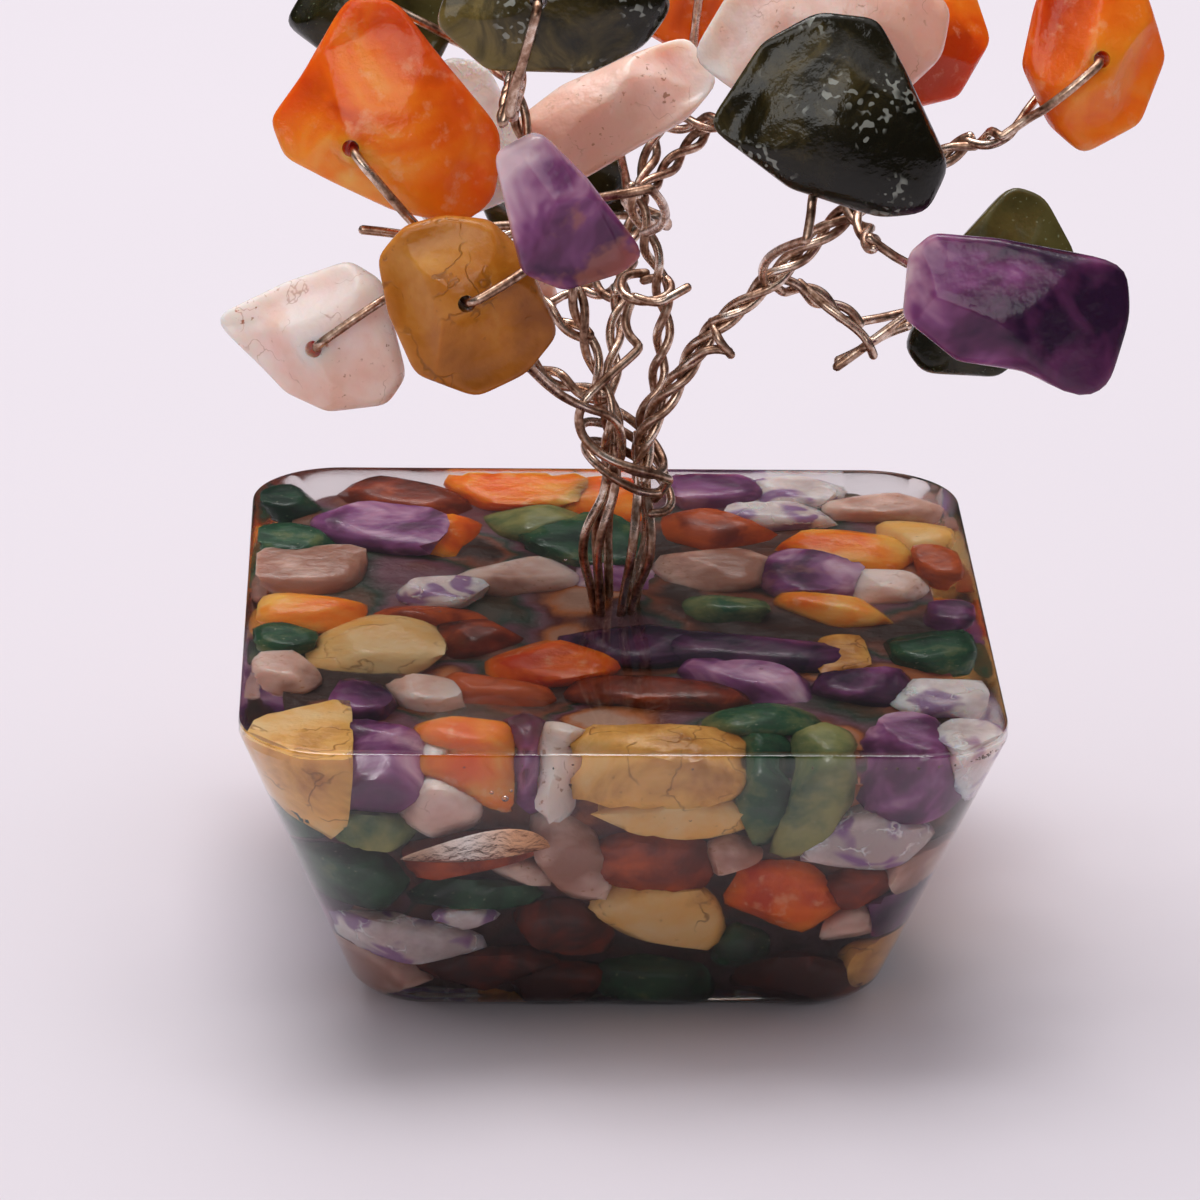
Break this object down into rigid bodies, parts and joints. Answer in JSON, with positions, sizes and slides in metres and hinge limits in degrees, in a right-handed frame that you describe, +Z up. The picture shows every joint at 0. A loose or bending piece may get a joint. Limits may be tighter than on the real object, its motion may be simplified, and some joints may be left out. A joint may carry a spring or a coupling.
{
  "type": "gemstone tree ornament",
  "caption": "Tabletop tree ornament: drilled tumbled stone chips on twisted copper wire boughs that rise from a clear resin block with stone chips cast inside.",
  "frame": {"origin": "middle of the flat underside of the resin block", "axes": "+Z up along the trunk, -Y towards the front seen in the picture, +X to its right"},
  "size_m": [0.0501, 0.0414, 0.0648],
  "materials": {
    "clear_resin": "clear cast, polished",
    "copper_wire": "tarnished silvered copper, satin",
    "amethyst": "tumbled and polished",
    "carnelian": "tumbled and polished",
    "rose_quartz": "tumbled and polished",
    "green_aventurine": "tumbled and polished",
    "yellow_jasper": "tumbled and polished",
    "red_jasper": "tumbled and polished",
    "clear_quartz": "tumbled and polished",
    "moss_agate": "tumbled and polished"
  },
  "bodies": {
    "base": {"resin_block": "clear_resin", "embedded_amethyst_chips": "amethyst", "embedded_carnelian_chips": "carnelian", "embedded_rose_quartz_chips": "rose_quartz", "embedded_green_aventurine_chips": "green_aventurine", "embedded_yellow_jasper_chips": "yellow_jasper", "embedded_red_jasper_chips": "red_jasper", "embedded_clear_quartz_chips": "clear_quartz", "trunk_wires": "copper_wire", "trunk_binding": "copper_wire"},
    "left_bough": {"left_bough": "copper_wire", "carnelian_left_stem": "copper_wire", "yellow_left_stem": "copper_wire", "rose_quartz_left_stem": "copper_wire", "olive_top_stem": "copper_wire", "green_top_left_stem": "copper_wire", "clear_left_stem": "copper_wire", "green_top_stem": "copper_wire"},
    "right_bough": {"right_bough": "copper_wire", "rose_quartz_top_stem": "copper_wire", "moss_agate_stem": "copper_wire", "carnelian_right_stem": "copper_wire", "green_right_stem": "copper_wire", "amethyst_right_stem": "copper_wire"},
    "center_bough": {"center_bough": "copper_wire", "amethyst_center_stem": "copper_wire", "rose_quartz_center_stem": "copper_wire"},
    "back_bough": {"back_bough": "copper_wire", "carnelian_back_stem": "copper_wire", "orange_top_stem": "copper_wire", "rose_quartz_back_stem": "copper_wire", "green_back_stem": "copper_wire", "red_back_stem": "copper_wire"},
    "carnelian_left_chip": {"carnelian_left_chip": "carnelian"},
    "yellow_left_chip": {"yellow_left_chip": "yellow_jasper"},
    "rose_quartz_left_chip": {"rose_quartz_left_chip": "rose_quartz"},
    "amethyst_center_chip": {"amethyst_center_chip": "amethyst"},
    "rose_quartz_center_chip": {"rose_quartz_center_chip": "rose_quartz"},
    "rose_quartz_top_chip": {"rose_quartz_top_chip": "rose_quartz"},
    "moss_agate_chip": {"moss_agate_chip": "moss_agate"},
    "carnelian_back_chip": {"carnelian_back_chip": "carnelian"},
    "carnelian_right_chip": {"carnelian_right_chip": "carnelian"},
    "green_right_chip": {"green_right_chip": "green_aventurine"},
    "amethyst_right_chip": {"amethyst_right_chip": "amethyst"},
    "olive_top_chip": {"olive_top_chip": "moss_agate"},
    "green_top_left_chip": {"green_top_left_chip": "green_aventurine"},
    "orange_top_chip": {"orange_top_chip": "carnelian"},
    "clear_left_chip": {"clear_left_chip": "clear_quartz"},
    "green_top_chip": {"green_top_chip": "green_aventurine"},
    "rose_quartz_back_chip": {"rose_quartz_back_chip": "rose_quartz"},
    "green_back_chip": {"green_back_chip": "green_aventurine"},
    "red_back_chip": {"red_back_chip": "red_jasper"}
  },
  "joints": [
    {"name": "left_bough_bend", "type": "hinge", "parent": "base", "child": "left_bough", "pos_m": [-0.0003, -0.0008, 0.02795], "axis": [0, -1, 0], "range_deg": [0, 12]},
    {"name": "right_bough_bend", "type": "hinge", "parent": "base", "child": "right_bough", "pos_m": [0.0013, -0.0008, 0.02795], "axis": [0, 1, 0], "range_deg": [0, 12]},
    {"name": "center_bough_bend", "type": "hinge", "parent": "base", "child": "center_bough", "pos_m": [0.0013, 0.0008, 0.02795], "axis": [1, 0, 0], "range_deg": [0, 8]},
    {"name": "back_bough_bend", "type": "hinge", "parent": "base", "child": "back_bough", "pos_m": [-0.0003, 0.0008, 0.02795], "axis": [-1, 0, 0], "range_deg": [0, 12]},
    {"name": "carnelian_left_swivel", "type": "hinge", "parent": "left_bough", "child": "carnelian_left_chip", "pos_m": [-0.01403, -0.00062, 0.04388], "axis": [-0.1371, -0.9752, 0.1736], "range_deg": [-12, 12]},
    {"name": "yellow_left_swivel", "type": "hinge", "parent": "left_bough", "child": "yellow_left_chip", "pos_m": [-0.0085, -0.00756, 0.03795], "axis": [0.0863, -0.9865, 0.1392], "range_deg": [-12, 12]},
    {"name": "rose_quartz_left_swivel", "type": "hinge", "parent": "left_bough", "child": "rose_quartz_left_chip", "pos_m": [-0.01577, 0.00164, 0.03167], "axis": [-0.25, -0.933, 0.2588], "range_deg": [-12, 12]},
    {"name": "amethyst_center_swivel", "type": "hinge", "parent": "center_bough", "child": "amethyst_center_chip", "pos_m": [-0.0034, -0.01204, 0.04405], "axis": [0.2048, -0.9633, 0.1736], "range_deg": [-12, 12]},
    {"name": "rose_quartz_center_swivel", "type": "hinge", "parent": "center_bough", "child": "rose_quartz_center_chip", "pos_m": [-0.0002, 0.00959, 0.04253], "axis": [0, -0.8988, 0.4384], "range_deg": [-12, 12]},
    {"name": "rose_quartz_top_swivel", "type": "hinge", "parent": "right_bough", "child": "rose_quartz_top_chip", "pos_m": [0.0111, 0.00397, 0.04915], "axis": [-0.0647, -0.9249, 0.3746], "range_deg": [-12, 12]},
    {"name": "moss_agate_swivel", "type": "hinge", "parent": "right_bough", "child": "moss_agate_chip", "pos_m": [0.01041, -0.00711, 0.04717], "axis": [0.0829, -0.9474, 0.309], "range_deg": [-12, 12]},
    {"name": "carnelian_back_swivel", "type": "hinge", "parent": "back_bough", "child": "carnelian_back_chip", "pos_m": [0.016, 0.01197, 0.04595], "axis": [0.1632, -0.9254, 0.342], "range_deg": [-12, 12]},
    {"name": "carnelian_right_swivel", "type": "hinge", "parent": "right_bough", "child": "carnelian_right_chip", "pos_m": [0.02423, -0.00016, 0.04857], "axis": [0.1977, -0.9303, 0.309], "range_deg": [-12, 12]},
    {"name": "green_right_swivel", "type": "hinge", "parent": "right_bough", "child": "green_right_chip", "pos_m": [0.01993, 0.00278, 0.03449], "axis": [0.129, -0.9182, 0.3746], "range_deg": [-12, 12]},
    {"name": "amethyst_right_swivel", "type": "hinge", "parent": "right_bough", "child": "amethyst_right_chip", "pos_m": [0.01772, -0.00768, 0.03793], "axis": [-0.0674, -0.9636, 0.2588], "range_deg": [-12, 12]},
    {"name": "olive_top_swivel", "type": "hinge", "parent": "left_bough", "child": "olive_top_chip", "pos_m": [-0.0051, -0.01201, 0.05524], "axis": [0.0671, -0.9589, 0.2756], "range_deg": [-12, 12]},
    {"name": "green_top_left_swivel", "type": "hinge", "parent": "left_bough", "child": "green_top_left_chip", "pos_m": [-0.0129, 0.00597, 0.04945], "axis": [-0.1586, -0.8997, 0.4067], "range_deg": [-12, 12]},
    {"name": "orange_top_swivel", "type": "hinge", "parent": "back_bough", "child": "orange_top_chip", "pos_m": [0.0047, 0.0185, 0.04695], "axis": [0, -0.866, 0.5], "range_deg": [-12, 12]},
    {"name": "clear_left_swivel", "type": "hinge", "parent": "left_bough", "child": "clear_left_chip", "pos_m": [-0.00941, 0.00512, 0.04176], "axis": [-0.0994, -0.9458, 0.309], "range_deg": [-12, 12]},
    {"name": "green_top_swivel", "type": "hinge", "parent": "left_bough", "child": "green_top_chip", "pos_m": [-0.00881, 0.00243, 0.06095], "axis": [-0.2542, -0.6983, 0.6691], "range_deg": [-12, 12]},
    {"name": "rose_quartz_back_swivel", "type": "hinge", "parent": "back_bough", "child": "rose_quartz_back_chip", "pos_m": [-0.007, 0.01, 0.03155], "axis": [0.1699, 0.9633, 0.2079], "range_deg": [-12, 12]},
    {"name": "green_back_swivel", "type": "hinge", "parent": "back_bough", "child": "green_back_chip", "pos_m": [-0.003, 0.0172, 0.03575], "axis": [-0.0838, 0.9576, 0.2756], "range_deg": [-12, 12]},
    {"name": "red_back_swivel", "type": "hinge", "parent": "back_bough", "child": "red_back_chip", "pos_m": [0.0117, 0.0162, 0.03975], "axis": [0.0819, 0.9361, 0.342], "range_deg": [-12, 12]}
  ]
}
